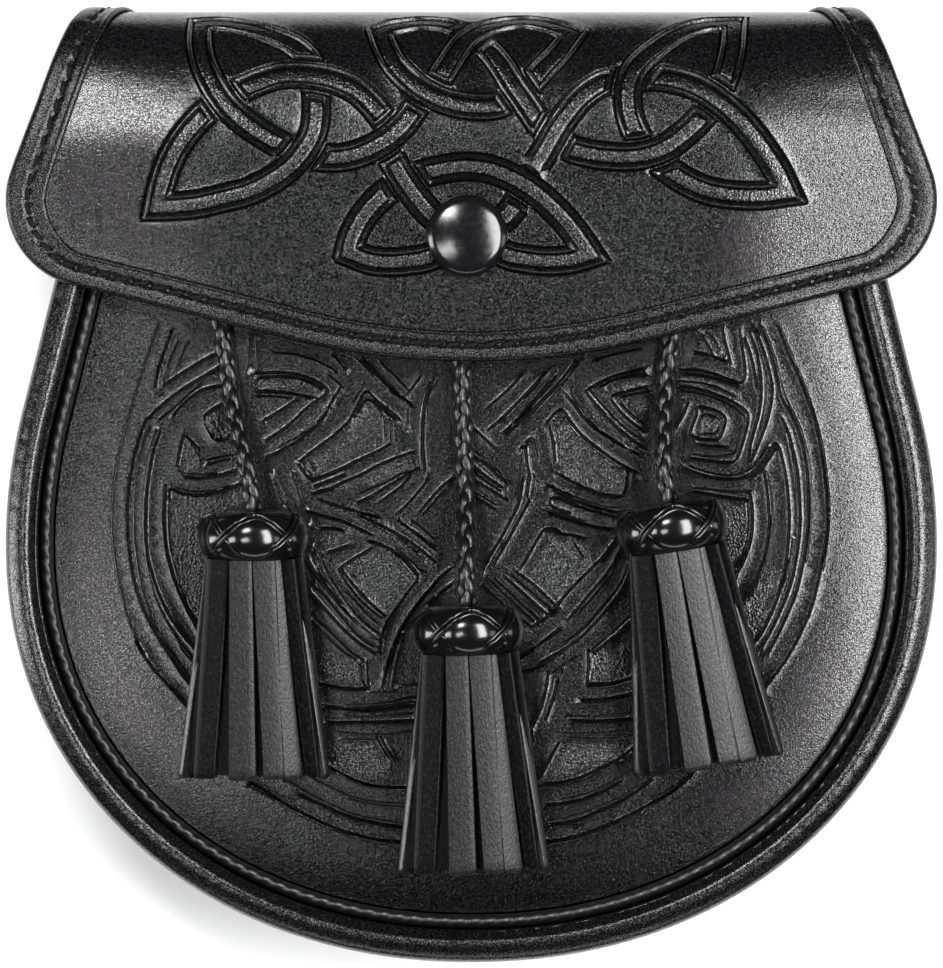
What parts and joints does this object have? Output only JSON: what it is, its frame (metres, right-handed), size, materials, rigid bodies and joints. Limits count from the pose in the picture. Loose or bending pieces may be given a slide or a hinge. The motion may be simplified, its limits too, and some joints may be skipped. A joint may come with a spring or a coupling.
{
  "type": "sporran pouch",
  "caption": "Round-bottomed black leather sporran pouch with an embossed flap over a rolled top, a snap, and leather tassels on braided cords in front.",
  "frame": {"origin": "on the floor under the middle of the pouch, which lies on its back", "axes": "+X to the right as seen from the front, +Y up as worn, +Z out of the front"},
  "size_m": [0.1866, 0.192, 0.0574],
  "materials": {
    "leather": "semi-gloss black, pebbled and embossed",
    "tassel_leather": "smooth satin black",
    "cord": "black braid",
    "enamel": "glossy black enamel over cast relief",
    "snap_metal": "satin black"
  },
  "bodies": {
    "root": {"back_panel": "leather", "back_welt": "leather", "belt_loop_left": "leather", "belt_loop_right": "leather", "gusset": "leather", "front_rim": "leather", "rim_welt": "leather", "front_panel": "leather", "flap": "leather", "flap_binding": "leather", "cord_tab_left": "leather", "cord_tab_middle": "leather", "cord_tab_right": "leather", "snap_cap": "snap_metal", "snap_post": "snap_metal", "tassel_cord_left": "cord", "tassel_cap_left": "enamel", "tassel_skirt_left": "tassel_leather", "tassel_cord_middle": "cord", "tassel_cap_middle": "enamel", "tassel_skirt_middle": "tassel_leather", "tassel_cord_right": "cord", "tassel_cap_right": "enamel", "tassel_skirt_right": "tassel_leather"}
  },
  "joints": []
}
